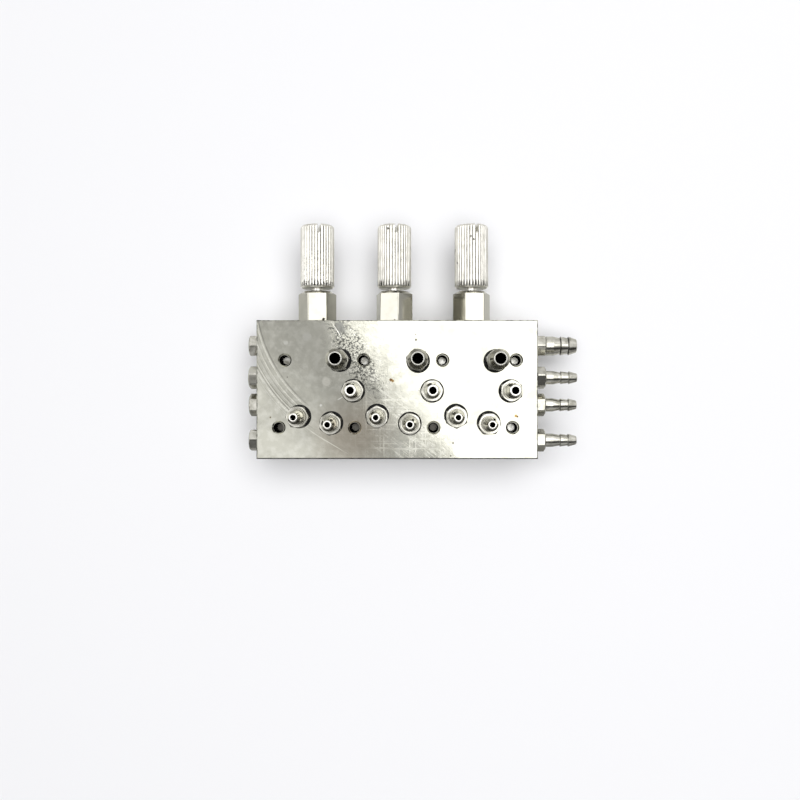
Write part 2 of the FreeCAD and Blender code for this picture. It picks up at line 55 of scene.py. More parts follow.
SUPPLIES = ("drive_air", "water", "cooling_air", "signal")
MARKS = ("along", "shade")
SMOOTH_BELOW = 35.0  # degrees: sharper edges aren't shaded smooth
CORNER_STEPS = 5
FACE_Z = 26.0
SCREW_END_Z = 21.0
CLAMP_HOLES = (
    (-32.75, 8.56), (-9.75, 8.56), (13.25, 8.56), (34.7, 8.56),
    (-34.5, -11.1), (-12.35, -11.1), (10.65, -11.1), (33.65, -11.1),
)

Array = np.ndarray
Colour = tuple[float, float, float, float]
Pair = tuple[float, float]
Point = tuple[float, float, float]
Limit = Callable[[Array, Array, Array], Array]
Tree = bpy.types.NodeTree
Node = bpy.types.Node
Socket = bpy.types.NodeSocket
Material = bpy.types.Material
Object = bpy.types.Object
Coats = list[tuple[Any, float, str]]
Parts = list[tuple[Any, float]]
Layers = tuple[Coats, Parts, Parts]


def linear(hex_colour: str) -> Colour:
    """Turn an sRGB hex colour into the linear one that shaders and lamps take.

    Args:
        hex_colour: six hex digits after a #.

    Returns:
        Linear red, green, blue, and an alpha of 1.
    """
    srgb = np.array([int(hex_colour[i:i + 2], 16) for i in (1, 3, 5)]) / 255
    light = np.where(srgb <= 0.04045, srgb / 12.92, ((srgb + 0.055) / 1.055) ** 2.4)
    return (*light.tolist(), 1.0)


def feed(tree: Tree, node: Node, inputs: tuple | list | dict) -> Node:
    """Set or link a node's inputs.

    Args:
        tree: the node's tree.
        node: the node.
        inputs: what goes into its inputs, in their order, or by name or number. A node gives its first output.

    Returns:
        The same node.
    """
    for key, value in inputs.items() if isinstance(inputs, dict) else enumerate(inputs):
        source = value.outputs[0] if isinstance(value, Node) else value
        if isinstance(source, Socket):
            tree.links.new(source, node.inputs[key])
        else:
            node.inputs[key].default_value = source
    return node


def add_node(tree: Tree, kind: str, inputs: tuple | list | dict = (), **settings: Any) -> Node:
    """Add a node with its settings, and set or link its inputs.

    Args:
        tree: the node tree that gets the node.
        kind: the node's type, without the ShaderNode that each begins with.
        inputs: what goes into its inputs, as for `feed`.
        settings: the node's own properties.

    Returns:
        The new node.
    """
    node = tree.nodes.new("ShaderNode" + kind)
    for key, value in settings.items():
        setattr(node, key, value)
    return feed(tree, node, inputs)


@dataclass(frozen=True)
class Graph:
    """A node tree that is being built, and the place that its patterns are drawn over, in mm on a piece."""

    tree: Tree
    place: Any

    def math(self, operation: str, *inputs: Any) -> Node:
        """Add a Math node."""
        return add_node(self.tree, "Math", inputs, operation=operation)

    def vector(self, operation: str, *inputs: Any) -> Socket:
        """Add a Vector Math node, and give the output that its operation fills."""
        outputs = add_node(self.tree, "VectorMath", inputs, operation=operation).outputs
        return outputs["Value" if operation in ("DISTANCE", "DOT_PRODUCT", "LENGTH") else "Vector"]

    def axes(self, vector: Any = None) -> Any:
        """Split a vector, or the place if none is given, into x, y and z."""
        return add_node(self.tree, "SeparateXYZ", [self.place if vector is None else vector]).outputs

    def ramp(self, value: Any, *limits: float, **settings: Any) -> Node:
        """Turn a range of a value, given by its ends, into 0 to 1, or into a second range given after it."""
        return add_node(self.tree, "MapRange", (value, *limits), **settings)

    def mix(self, share: Any, first: Any, second: Any) -> Node:
        """Go from one value to another as the share goes from 0 to 1."""
        return add_node(self.tree, "Mix", {0: share, 2: first, 3: second})

    def blend(self, share: Any, first: Any, second: Any) -> Socket:
        """Go from one colour to another as the share goes from 0 to 1."""
        return add_node(self.tree, "Mix", {0: share, 6: first, 7: second}, data_type="RGBA").outputs[2]

    def product(self, *factors: Any) -> Any:
        """Multiply values with each other."""
        return reduce(lambda result, factor: self.math("MULTIPLY", result, factor), factors)

    def total(self, start: float, parts: Parts) -> Any:
        """A start value plus each part times its factor."""
        return reduce(lambda result, part: self.math("MULTIPLY_ADD", *part, result), parts, start)

    def noise(self, size: float, detail: float, roughness: float = 0.5) -> Node:
        """Noise over the place, with lumps about `size` mm wide."""
        return add_node(self.tree, "TexNoise", {
            "Vector": self.place, "Scale": 1 / size, "Detail": detail, "Roughness": roughness,
        })

    def rings(self, distance: Any, step: float) -> Node:
        """Noise along a distance, with lumps about `step` mm long."""
        return add_node(self.tree, "TexNoise", {
            "W": distance, "Scale": 1 / step, "Detail": 2.0,
        }, noise_dimensions="1D")

    def stretched(self, scale: Point, middle: Point = (0.0, 0.0, 0.0), turn: float = 0.0) -> "Graph":
        """Stretch what is drawn over the place.

        Args:
            scale: how much longer it becomes along each axis.
            middle: the point in mm that it is stretched round.
            turn: how far its axes are turned about Z, in degrees.

        Returns:
            The graph with the stretched place.
        """
        place = add_node(self.tree, "Mapping", {
            "Vector": self.place, "Location": middle, "Rotation": (0, 0, math.radians(turn)), "Scale": scale,
        }, vector_type="TEXTURE")
        return replace(self, place=place)


class Facing(Enum):
    """Where a piece made along +Z points once it is in place. The columns are its own X, Y and Z."""

    FACE = ((1, 0, 0), (0, 1, 0), (0, 0, 1))
    KNOB_EDGE = ((1, 0, 0), (0, 0, 1), (0, -1, 0))
    INLET_SIDE = ((0, 0, 1), (0, 1, 0), (-1, 0, 0))
    PLUG_SIDE = ((0, 0, -1), (0, 1, 0), (1, 0, 0))


@dataclass(frozen=True)
class Seat:
    """Where a turned piece stands: a point in mm, a facing, and its turn about its own axis in degrees."""

    point: Point
    facing: Facing
    turn: float = 0.0

    def place(self, loops: Array) -> Array:
        """Turn points about +Z, lay +Z along the facing, move them to the seat, and give metres."""
        angle = math.radians(self.turn)
        turned = loops @ np.array([
            (math.cos(angle), math.sin(angle), 0), (-math.sin(angle), math.cos(angle), 0), (0, 0, 1),
        ])
        return (turned @ np.array(self.facing.value, float).T + np.array(self.point)) * MM


@dataclass(frozen=True)
class Shell:
    """A closed surface given as loops of points, in metres, with two marks for the finish at each point.

    The marks are how far along the turning axis the point lies, in mm, and its painted shade, from 1 where a
    groove or bore is painted dark to -1 where a rim gets a painted highlight. A ring joins its last loop to its
    first, as on a piece with a bore. Any other shell is closed by a point in the middle of its first and of its last
    loop.
    """

    loops: Array
    marks: Array
    ring: bool

    def flat(self, values: Array) -> Array:
        """What the loops hold as one list, with the means for the two closing points last where it has them."""
        listed = values.reshape(-1, values.shape[-1])
        if self.ring:
            return listed
        return np.vstack([listed, values[0].mean(axis=0), values[-1].mean(axis=0)])

    def faces(self) -> tuple[Array, Array]:
        """Number the faces: four-sided ones between loops, and triangles round the closing points.

        The face at row i and column j joins the points (i, j), (i, j+1), (i+1, j+1) and (i+1, j), with the
        columns counted round.

        Returns:
            The four-sided faces and the triangles, all turned outwards.
        """
        rows, columns = self.loops.shape[:2]
        row, column = np.meshgrid(np.arange(rows if self.ring else rows - 1), np.arange(columns), indexing="ij")
        below, above = row * columns, (row + 1) % rows * columns
        after = (column + 1) % columns
        quads = np.stack([below + column, below + after, above + after, above + column], axis=-1).reshape(-1, 4)
        triangles = np.empty((0, 3), int)
        if not self.ring:
            here = np.arange(columns)
            there = (here + 1) % columns
            top = (rows - 1) * columns
            first = np.stack([np.full(columns, rows * columns), there, here], axis=-1)
            last = np.stack([np.full(columns, rows * columns + 1), top + here, top + there], axis=-1)
            triangles = np.vstack([first, last])
        if self.volume(quads, triangles) < 0:
            quads, triangles = quads[:, ::-1], triangles[:, ::-1]
        return quads, triangles

    def volume(self, quads: Array, triangles: Array) -> float:
        """Six times the volume inside the faces: the sum of a . (b x c) over their triangles."""
        points = self.flat(self.loops)
        points = points - points.mean(axis=0)
        corners = np.vstack([quads[:, :3], quads[:, [0, 2, 3]], triangles])
        a, b, c = points[corners[:, 0]], points[corners[:, 1]], points[corners[:, 2]]
        return float(np.einsum("ij,ij->", a, np.cross(b, c)))


def add_object(name: str, data: Any) -> Object:
    """Link a new object to the scene, and give it."""
    added = bpy.data.objects.new(name, data)
    bpy.context.scene.collection.objects.link(added)
    return added


def make_piece(name: str, shells: list[Shell]) -> Object:
    """Put closed shells into one mesh object at the origin, with their marks as attributes.

    Args:
        name: the piece's name.
        shells: the closed surfaces that the piece is made of.

    Returns:
        The new object, linked to the scene.
    """
    faces: list[list[int]] = []
    start = 0
    for shell in shells:
        quads, triangles = shell.faces()
        faces += (quads + start).tolist() + (triangles + start).tolist()
        start += len(shell.flat(shell.marks))
    mesh = bpy.data.meshes.new(name)
    mesh.from_pydata(np.vstack([shell.flat(shell.loops) for shell in shells]).tolist(), [], faces)
    marks = np.vstack([shell.flat(shell.marks) for shell in shells]).astype(np.float32)
    for column, mark in enumerate(MARKS):
        mesh.attributes.new(mark, "FLOAT", "POINT").data.foreach_set("value", marks[:, column].copy())
    mesh.shade_smooth()
    mesh.set_sharp_from_angle(angle=math.radians(SMOOTH_BELOW))
    return add_object(name, mesh)


def rounded(corners: list[Point], cut: float, closed: bool) -> Array:
    """Take the sharpness off an outline's corners.

    With A and B on the sides before and after a corner P, `cut` away from it or 0.45 of a shorter side, the
    corner becomes the curve (1-s)(1-s) A + 2s(1-s) P + s s B, for s from 0 to 1.

    Args:
        corners: (radius, height, shade) in mm, mm and the scale of Shell's marks.
        cut: how far from each corner its curve starts and ends, in mm.
        closed: whether the last corner joins the first. An open outline keeps its ends as they are.

    Returns:
        The outline's (radius, height, shade) points.
    """
    outline = np.array(corners, float)
    s = np.linspace(0, 1, CORNER_STEPS)[None, :, None]
    ends = []
    for shift in (1, -1):
        side = np.roll(outline, shift, axis=0) - outline
        length = np.maximum(np.linalg.norm(side[:, :2], axis=1, keepdims=True), 1e-9)
        ends.append((outline + side * np.minimum(cut / length, 0.45))[:, None])
    curve = ((1 - s) ** 2 * ends[0] + 2 * s * (1 - s) * outline[:, None] + s ** 2 * ends[1]).reshape(-1, 3)
    if closed:
        return curve
    return np.vstack([outline[:1], curve[CORNER_STEPS:-CORNER_STEPS], outline[-1:]])


def lathe(outline: Array, seat: Seat, around: int, limit: Limit | None = None, ring: bool = False) -> Shell:
    """Turn an outline round its axis: (r cos t, r sin t, h) for each point (r, h) and each angle t.

    Args:
        outline: (radius, height, shade) points, as from `rounded`.
        seat: where the piece stands.
        around: how many points each loop has.
        limit: gives the radius that a milling, knurling or threading tool leaves, from the blank's radius, the
            angle and the height.
        ring: whether the outline closes on itself, round a bore.

    Returns:
        The turned shell, in place.
    """
    angle = np.linspace(0, 2 * math.pi, around, endpoint=False)
    radius, height, shade, angle = np.broadcast_arrays(outline[:, :1], outline[:, 1:2], outline[:, 2:], angle[None])
    if limit is not None:
        radius = limit(radius, angle, height)
    loops = np.stack([radius * np.cos(angle), radius * np.sin(angle), height], axis=-1)
    return Shell(seat.place(loops), np.stack([height, shade], axis=-1), ring)


def milled_hexagon(flats: float, softness: float = 60.0) -> Limit:
    """Six flats milled on a turned blank, with corners a little rounded.

    A flat k stands at the radius f / cos(t - 60k - 30), where f is half the distance across flats. The blank
    and the flats are joined by r = (blank^-p + sum of flat^-p)^(-1/p), a smallest of all with soft edges.

    Args:
        flats: the distance across flats in mm.
        softness: the power p. The larger it is, the sharper the edges are.

    Returns:
        A limit for lathe.
    """
    def limit(blank: Array, angle: Array, height: Array) -> Array:
        middles = np.radians(np.arange(30, 360, 60))[:, None, None]
        nearness = np.maximum(np.cos(angle - middles), 0) / (flats / 2)
        total = (nearness ** softness).sum(axis=0) + np.maximum(blank, 1e-6) ** -softness
        return total ** (-1 / softness)

    return limit


class HoseSize(Enum):
    """A hose barb's diameters in mm: collar, root of its ridges, ridge, tip and bore; then how dark shade is painted
    in its grooves.
    """

    LARGE = (5.8, 4.9, 5.7, 4.1, 3.1, 0.85)
    MEDIUM = (4.6, 3.8, 4.4, 3.4, 2.1, 0.5)
    SMALL = (4.0, 3.2, 3.8, 2.6, 1.55, 0.4)


@dataclass(frozen=True)
class Clouds:
    """Soft patches of noise: their size in mm, the noise at their rims and in their middles, and their detail."""

    size: float
    rim: float
    middle: float
    detail: float = 4.0

    def draw(self, graph: Graph) -> Node:
        """Where they lie, 0 to 1."""
        return graph.ramp(graph.noise(self.size, self.detail), self.rim, self.middle)


@dataclass(frozen=True)
class Area:
    """A round part of a surface: its middle, and the distances in mm within which it is full, then fades out."""

    middle: Point
    full: float
    end: float

    def draw(self, graph: Graph) -> Node:
        """Where it lies, 0 to 1."""
        return graph.ramp(graph.vector("DISTANCE", graph.place, self.middle), self.end, self.full)


@dataclass(frozen=True)
class Spot:
    """A ragged mark on a plated surface: its place and radius in mm, and its colour.

    A scratch also has a length in mm, and its turn from the X axis in degrees. A noise frays the edge, with so
    many lumps in a radius. Its weight counts beside the distance from the middle, which is 1 on the ellipse.
    """

    point: Point
    radius: float
    colour: str
    length: float = 0.0
    turn: float = 0.0
    lumps: float = 1.2
    weight: float = 2.0
    outside: float = 2.2
    inside: float = 1.75

    def draw(self, graph: Graph) -> Node:
        """Draw the mark as an ellipse whose edge a noise has frayed.

        Args:
            graph: the material's nodes.

        Returns:
            Where the mark lies, 0 to 1.
        """
        half_length = max(self.length / 2, self.radius)
        ellipse = graph.stretched((half_length, self.radius, self.radius), self.point, self.turn)
        away = graph.vector("LENGTH", ellipse.place)
        ragged = graph.noise(self.radius / self.lumps, 6.0, 0.7)
        return graph.ramp(graph.math("MULTIPLY_ADD", ragged, self.weight, away), self.outside, self.inside)


@dataclass(frozen=True)
class Finish:
    """A surface's name, colour and gloss, and how its layers are laid on each other."""

    name: str
    colour: str
    roughness: float
    metallic: float = 1.0

    def layers(self, graph: Graph) -> Layers:
        """Make the nodes of what lies on the surface.

        Args:
            graph: the material's nodes.

        Returns:
            The coats: for each its amount, a factor on that, and its colour. Then what adds to the roughness, and
            what adds to the height in mm, each with its factor.
        """
        raise NotImplementedError

    def material(self) -> Material:
        """Make the material: the coats over the colour, the roughness and the relief, linked to the shader."""
        material = bpy.data.materials.new(self.name)
        material.use_nodes = True
        tree = material.node_tree
        coordinates = add_node(tree, "TexCoord").outputs["Object"]
        graph = Graph(tree, add_node(tree, "VectorMath", {0: coordinates, "Scale": 1 / MM}, operation="SCALE"))
        coats, rough, height = self.layers(graph)
        colour: Any = linear(self.colour)
        for amount, strength, shade in coats:
            colour = graph.blend(graph.product(amount, strength), colour, linear(shade))
        feed(tree, tree.nodes["Principled BSDF"], {
            "Base Color": colour, "Metallic": self.metallic, "Roughness": graph.total(self.roughness, rough),
            "Normal": add_node(tree, "Bump", {"Height": graph.total(0.0, height), "Distance": MM}),
        })
        return material


@dataclass(frozen=True)
class MilledPlate(Finish):
    """Bright nickel plate on brass that was milled, sanded and handled.

    To the eye it is a worn mirror. A lamp's edge breaks up in it into specks and cross-hatching, pale clouds and
    a warm thin patch lie over it, and tools left arcs and pits. Its bores and the edges of its -Y side are
    painted nearly black as shade.
    """

    low: Point = (0.0, 0.0, 0.0)
    high: Point = (0.0, 0.0, 0.0)
    joint_height: float = 0.0
    joint_width: float = 0.06
    haze: str = "#a5a499"
    pale: str = "#d6d5cb"
    warm: str = "#8d8170"
    # Grime on nicks and on the joint's line, and painted shade in the bores and on the -Y edges.
    grime_and_painted_shade: str = "#1b1916"
    arc_shadow: str = "#77766d"
    haze_clouds: Clouds = Clouds(7.0, 0.42, 0.68)
    mottle: Clouds = Clouds(2.2, 0.45, 0.64, 6.0)
    nicks: Clouds = Clouds(1.1, 0.5, 0.58)
    burns: Clouds = Clouds(0.55, 0.49, 0.56, 6.0)
    sanding_gaps: Clouds = Clouds(5.0, 0.35, 0.65)
    arc_gaps: Clouds = Clouds(7.0, 0.3, 0.6)
    hatched: Area = Area((5.0, -8.0, FACE_Z), 5.7, 19.0)
    sanded: Area = Area((5.0, -8.0, FACE_Z), 6.65, 16.15)
    thin_plate: Area = Area((-13.0, -13.0, FACE_Z), 4.2, 14.0)
    speckled: Area = Area((-8.0, 14.0, FACE_Z), 7.5, 15.0)
    burnt: Spot = Spot((-12.6, 10.4, FACE_Z), 3.8, "#3d3e3b", 25.0, -62.0)
    stroke: Point = (16.0, 0.45, 16.0)
    stroke_turns: tuple[Pair, ...] = ((0.0, 0.56), (90.0, 0.58), (-38.0, 0.57))
    arc_middle: Point = (1.0, 28.0, FACE_Z)
    arc_radii: Pair = (41.0, 49.5)
    arc_fade: float = 2.0
    arc_step: float = 1 / 1.7
    arc_noise: Pair = (0.52, 0.62)
    arc_side: Pair = (-24.0, -31.0)
    arc_shadow_shift: float = 0.4
    # How deep inside the block the painted shade in the bores starts and is full, in mm.
    bore_start: Pair = (0.2, 0.55)
    edge_width: Pair = (0.4, 0.25)
    # Where the painted shade on the -Y side's edges starts and is full, in mm from that side.
    bottom_side_shade_width: Pair = (0.5, 0.3)
    spots: tuple[Spot, ...] = ()

    def inset(self, graph: Graph) -> tuple[Node, Node]:
        """How far a point lies inside the block.

        Args:
            graph: the material's nodes.

        Returns:
            The distance from the nearest of its outer walls, and from the nearest edge between two of them: the
            sum of the point's three distances from walls without the largest.
        """
        low, high = np.array(self.low), np.array(self.high)
        folded = graph.vector("ABSOLUTE", graph.vector("SUBTRACT", graph.place, tuple((low + high) / 2)))
        inside = graph.vector("SUBTRACT", tuple((high - low) / 2), folded)
        x, y, z = graph.axes(inside)
        wall = graph.math("MINIMUM", graph.math("MINIMUM", x, y), z)
        largest = graph.math("MAXIMUM", graph.math("MAXIMUM", x, y), z)
        together = graph.vector("DOT_PRODUCT", inside, (1.0, 1.0, 1.0))
        return wall, graph.math("SUBTRACT", together, largest)

    def hatching(self, graph: Graph) -> Node:
        """Sanding scratches, one set for each of `stroke_turns`: its turn, and the noise where its strokes start.

        Real ones are hundredths of a millimetre wide, too fine to show, so these are drawn 0.45 mm wide and
        16 mm long.

        Args:
            graph: the material's nodes.

        Returns:
            Where they lie, 0 to 1.
        """
        lines: Any = 0.0
        for turn, start in self.stroke_turns:
            strokes = Clouds(1.0, start, start + 0.08, 2.0).draw(graph.stretched(self.stroke, turn=turn))
            lines = graph.math("MAXIMUM", strokes, lines)
        share = graph.ramp(self.hatched.draw(graph), 0.0, 1.0, 0.12, 1.0)
        return graph.product(lines, share, self.sanding_gaps.draw(graph))

    def arcs(self, graph: Graph, shift: float = 0.0) -> Node:
        """Arcs that a swinging tool scored round one centre on the left of the face.

        Args:
            graph: the material's nodes.
            shift: how far inwards they are moved, in mm.

        Returns:
            Where they lie, 0 to 1.
        """
        away = graph.math("ADD", graph.vector("DISTANCE", graph.place, self.arc_middle), shift)
        inner, outer = self.arc_radii
        x, _, z = graph.axes()
        return graph.product(
            graph.ramp(graph.rings(away, self.arc_step), *self.arc_noise),
            graph.ramp(away, inner, inner + self.arc_fade), graph.ramp(away, outer, outer - self.arc_fade),
            graph.ramp(x, *self.arc_side), graph.ramp(z, self.high[2] - 0.3, self.high[2] - 0.1),
            self.arc_gaps.draw(graph),
        )

    def layers(self, graph: Graph) -> Layers:
        """Lay haze, scratches, the warm patch, spots, painted shade in the bores and on the -Y edges, and the
        joint's line over the plate.

        Args:
            graph: the material's nodes.

        Returns:
            The coats, and what adds to the roughness and to the height.
        """
        wall, edge = self.inset(graph)
        _, y, z = graph.axes()
        haze, lines, arcs = self.haze_clouds.draw(graph), self.hatching(graph), self.arcs(graph)
        # Painted shade: points more than about half a millimetre inside the block, in its bores, are darkened.
        bore = graph.ramp(wall, *self.bore_start)
        near_edge = graph.ramp(edge, *self.edge_width)
        # Painted shade on the edges of the -Y side.
        bottom_side_shade = graph.ramp(y, *(self.low[1] + width for width in self.bottom_side_shade_width))
        coats = [
            (haze, 0.8, self.haze), (self.mottle.draw(graph), 0.35, self.pale),
            (self.thin_plate.draw(graph), 0.55, self.warm), (lines, 0.35, self.pale),
            (self.arcs(graph, self.arc_shadow_shift), 0.7, self.arc_shadow), (arcs, 0.4, self.pale),
            (graph.product(self.burns.draw(graph), self.burnt.draw(graph)), 0.85, self.burnt.colour),
            (graph.product(self.nicks.draw(graph), near_edge), 0.7, self.grime_and_painted_shade),
            # Painted shade on the -Y edges.
            (graph.product(bottom_side_shade, near_edge), 0.85, self.grime_and_painted_shade),
            *((spot.draw(graph), 1.0, spot.colour) for spot in self.spots),
            (bore, 1.0, self.grime_and_painted_shade),
            (graph.math("COMPARE", z, self.joint_height, self.joint_width), 0.8, self.grime_and_painted_shade),
        ]
        rough = [(haze, 0.06), (lines, 0.16), (self.sanded.draw(graph), 0.06), (arcs, 0.1), (bore, 0.35)]
        where = graph.ramp(self.speckled.draw(graph), 0.0, 1.0, 0.15, 1.0)
        specks = graph.product(graph.noise(0.8, 5.0, 0.7), where)
        return coats, rough, [(graph.noise(3.0, 2.0), 0.012), (specks, 0.022), (lines, -0.004), (arcs, -0.008)]


@dataclass(frozen=True)
class TurnedPlate(Finish):
    """Bright nickel plate on turned brass.

    To the eye it is a soft mirror with fine rings round its axis. Shade is painted black into its bores and at
    the foot of each ridge, and a painted highlight makes the rims that the piece marks white. The rings of a real
    tool lie a few hundredths of a millimetre apart, too fine to show, so they are drawn 0.3 mm apart.
    """

    haze: str = "#97958a"
    haze_size: float = 2.5
    haze_gloss: float = 0.1
    ring_step: float = 0.3
    ring_depth: float = 0.003
    # Colour of the painted shade in grooves and bores.
    grime_and_painted_shade: str = "#0d0c0b"
    # Colour of the painted highlight on rims that the piece marks bright.
    rim: str = "#f4f2ea"
    spots: tuple[Spot, ...] = ()

    def grooves(self, graph: Graph, shade: Socket) -> Node:
        """Where shade is painted: in the grooves and bores that the piece marks."""
        return graph.ramp(shade, 0.0, 1.0)

    def layers(self, graph: Graph) -> Layers:
        """Lay haze, rings, painted shade in grooves, painted highlights on rims, and spots over the plate.

        Args:
            graph: the material's nodes.

        Returns:
            The coats, and what adds to the roughness and to the height.
        """
        along, shade = (add_node(graph.tree, "Attribute", attribute_name=mark).outputs["Fac"] for mark in MARKS)
        haze = Clouds(self.haze_size, 0.4, 0.68).draw(graph)
        # Painted shade where the piece marks grooves and bores.
        dark = self.grooves(graph, shade)
        # Painted highlight where the piece marks a rim bright.
        painted_highlight = graph.ramp(shade, 0.0, -1.0)
        coats = [
            (haze, 1.0, self.haze), (painted_highlight, 1.0, self.rim), (dark, 1.0, self.grime_and_painted_shade),
            *((spot.draw(graph), 1.0, spot.colour) for spot in self.spots),
        ]
        height = [(graph.rings(along, self.ring_step), self.ring_depth), (graph.noise(0.5, 3.0), 0.003)]
        return coats, [(haze, self.haze_gloss), (painted_highlight, 0.3), (dark, 0.4)], height


@dataclass(frozen=True)
class KnurledPlate(TurnedPlate):
    """Satin nickel plate on straight-knurled brass: near-white lands between grooves grey with grime and painted
    shade, and dark pits.
    """

    pitted: Area = Area((-25.0, 34.0, 23.5), 4.5, 9.0)
    pits: Clouds = Clouds(0.5, 0.5, 0.56)
    uneven: Clouds = Clouds(1.0, 0.42, 0.62)
    uneven_stretch: Point = (0.6, 9.0, 0.6)

    def grooves(self, graph: Graph, shade: Socket) -> Node:
        """Where the grooves darken with grime and painted shade: unevenly from groove to groove, as pits round one
        place, and as painted shade in the notches at the foot.

        Args:
            graph: the material's nodes.
            shade: the piece's mark, which is above 1 at the foot.

        Returns:
            The grime and painted shade, 0 to 1.
        """
        uneven = self.uneven.draw(graph.stretched(self.uneven_stretch))
        amount = graph.mix(
            self.pitted.draw(graph), graph.ramp(uneven, 0.0, 1.0, 0.15, 1.0), self.pits.draw(graph),
        )
        groove_grime_and_shade = graph.product(graph.ramp(shade, 0.1, 1.0), amount)
        return graph.math("MAXIMUM", groove_grime_and_shade, graph.ramp(shade, 1.0, 2.0))


@dataclass(frozen=True)
class Plain(Finish):
    """A soft or dull material whose colour, gloss and surface vary a little with its grain."""

    metallic: float = 0.0
    shade: str = "#000000"
    grain: float = 1.0

    def layers(self, graph: Graph) -> Layers:
        """Vary colour, gloss and surface with the grain."""
        grain = graph.noise(self.grain, 4.0)
        return [(grain, 1.0, self.shade)], [(grain, 0.16)], [(grain, 0.02)]


def dress(node: str, material: Material) -> None:
    """Give a CAD node its material, and leave its mesh alone.

    Args:
        node: the CAD node's name.
        material: its finish.
    """
    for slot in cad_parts[node].material_slots:
        slot.material = material
    LOG.info("dressed %s with %s", node, material.name)


def settle(piece: Object, material: Material, body: str, slot: str, *nodes: str) -> None:
    """Finish a new piece: its material, the body it moves with, and what it stands for.

    Args:
        piece: the new piece.
        material: its finish.
        body: the CAD body that carries it.
        slot: the record's material slot; it is not used.
        nodes: the CAD nodes that it replaces.
    """
    piece.data.materials.append(material)
    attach(piece, body)
    if nodes:
        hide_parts(*nodes)
    LOG.info("made %s: %d points, on %s", piece.name, len(piece.data.vertices), body)


def node_corners(*nodes: str) -> tuple[Array, Array]:
    """The lowest and highest corner of some CAD nodes' boxes together, in mm."""
    boxes = np.array([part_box(node) for node in nodes]) / MM
    return boxes[:, 0].min(axis=0), boxes[:, 1].max(axis=0)


@dataclass(frozen=True)
class Fitting:
    """A hose barb or a blanking plug: hexagon, stub and, on a barb, a collar, a waist and two ridges."""

    node: str
    material: Material
    facing: Facing
    turn: float
    hose: HoseSize | None
    hexagon_height: float = 2.6
    flats: float = 6.0
    crown: float = 0.45
    wall_shade: float = 0.0
    washer: float = 0.6
    stub: float = 4.2
    stub_length: float = 4.4
    collar_length: float = 2.2
    waist_length: float = 2.3
    ridge_length: float = 2.4
    tip_length: float = 2.5
    edge: float = 0.12
    groove: float = 0.4
    rim: float = 0.2
    nut_points: int = 120
    barb_points: int = 72
    stub_points: int = 64

    def seat(self) -> Seat:
        """Stand the fitting on the block's face or side, at the place of its CAD node."""
        point = np.mean(node_corners(self.node), axis=0)
        low, high = node_corners("manifold_block")
        if self.facing is Facing.FACE:
            point[2] = high[2]
        elif self.facing is Facing.INLET_SIDE:
            point[0] = high[0]
        else:
            point[0] = low[0]
        return Seat(tuple(point), self.facing, self.turn)

    def nut_outline(self, inner: float) -> list[Point]:
        """Draw the hexagon's turned blank, from the washer up, with its corners chamfered at 30 degrees.

        Args:
            inner: the radius inside it, in mm.

        Returns:
            Its (radius, height, shade) points.
        """
        corner = self.flats / math.sqrt(3)
        shoulder = self.washer + self.hexagon_height
        top = corner - self.crown / math.tan(math.radians(30))
        # Shade is painted at the hexagon's foot and, by wall_shade, on its walls.
        return [
            (inner, self.washer, 0), (corner, self.washer, 0.3), (corner, self.washer + 0.3, self.wall_shade),
            (corner, shoulder - self.crown, self.wall_shade), (top, shoulder, 0), (inner, shoulder, 0),
        ]

    def barb_outline(self) -> list[Point]:
        """The barb's section round its bore: stub, collar, waist, two ridges and the tip.

        Shade is painted dark at the collar's foot, at the foot of each ridge and in the bore, and a painted
        highlight lies on the tip's end.

        Returns:
            Its (radius, height, shade) points.
        """
        collar, root, ridge, tip, bore = (diameter / 2 for diameter in self.hose.value[:5])
        dark = self.hose.value[5]
        shoulder = self.washer + self.hexagon_height
        waist = shoulder + self.collar_length
        first = waist + self.waist_length
        second = first + self.ridge_length
        end = second + self.tip_length
        ridges = [point for foot in (first, second) for point in (
            (root + 0.02, foot - self.groove, 0), (root, foot - 0.7 * self.groove, dark), (root, foot, dark),
            (ridge, foot, 0.3 * dark), (ridge - 0.01, foot + 0.1, 0),
        )]
        return [
            (bore, -self.stub_length, 1), (self.stub / 2, -self.stub_length, 0),
            (self.stub / 2, shoulder - self.crown, 0), (collar, shoulder - self.crown, 1), (collar, shoulder, 0.4),
            (collar, shoulder + self.rim, 0), (collar, waist, 0), *ridges, (tip, end - self.rim, 0),
            (tip - self.rim, end, -0.8), (bore, end, -1), (bore, end - self.rim, 1),
        ]

    def build(self) -> None:
        """Make the fitting in place of its CAD node."""
        seat = self.seat()
        hexagon = milled_hexagon(self.flats)
        if self.hose is None:
            half = self.stub / 2
            foot = -self.stub_length
            stub = [(0, foot, 0), (half, foot, 0), (half, self.washer, 0), (0, self.washer, 0)]
            shells = [
                lathe(rounded(self.nut_outline(0), self.edge, closed=False), seat, self.nut_points, hexagon),
                lathe(rounded(stub, self.edge, closed=False), seat, self.stub_points),
            ]
        else:
            nut = rounded(self.nut_outline(self.stub / 2 - 0.1), self.edge, closed=True)
            shells = [
                lathe(nut, seat, self.nut_points, hexagon, ring=True),
                lathe(rounded(self.barb_outline(), self.edge, closed=True), seat, self.barb_points, ring=True),
            ]
        piece = make_piece("turned_" + self.node, shells)
        settle(piece, self.material, VALVE_BLOCK, "nickel_plated_fitting", self.node)


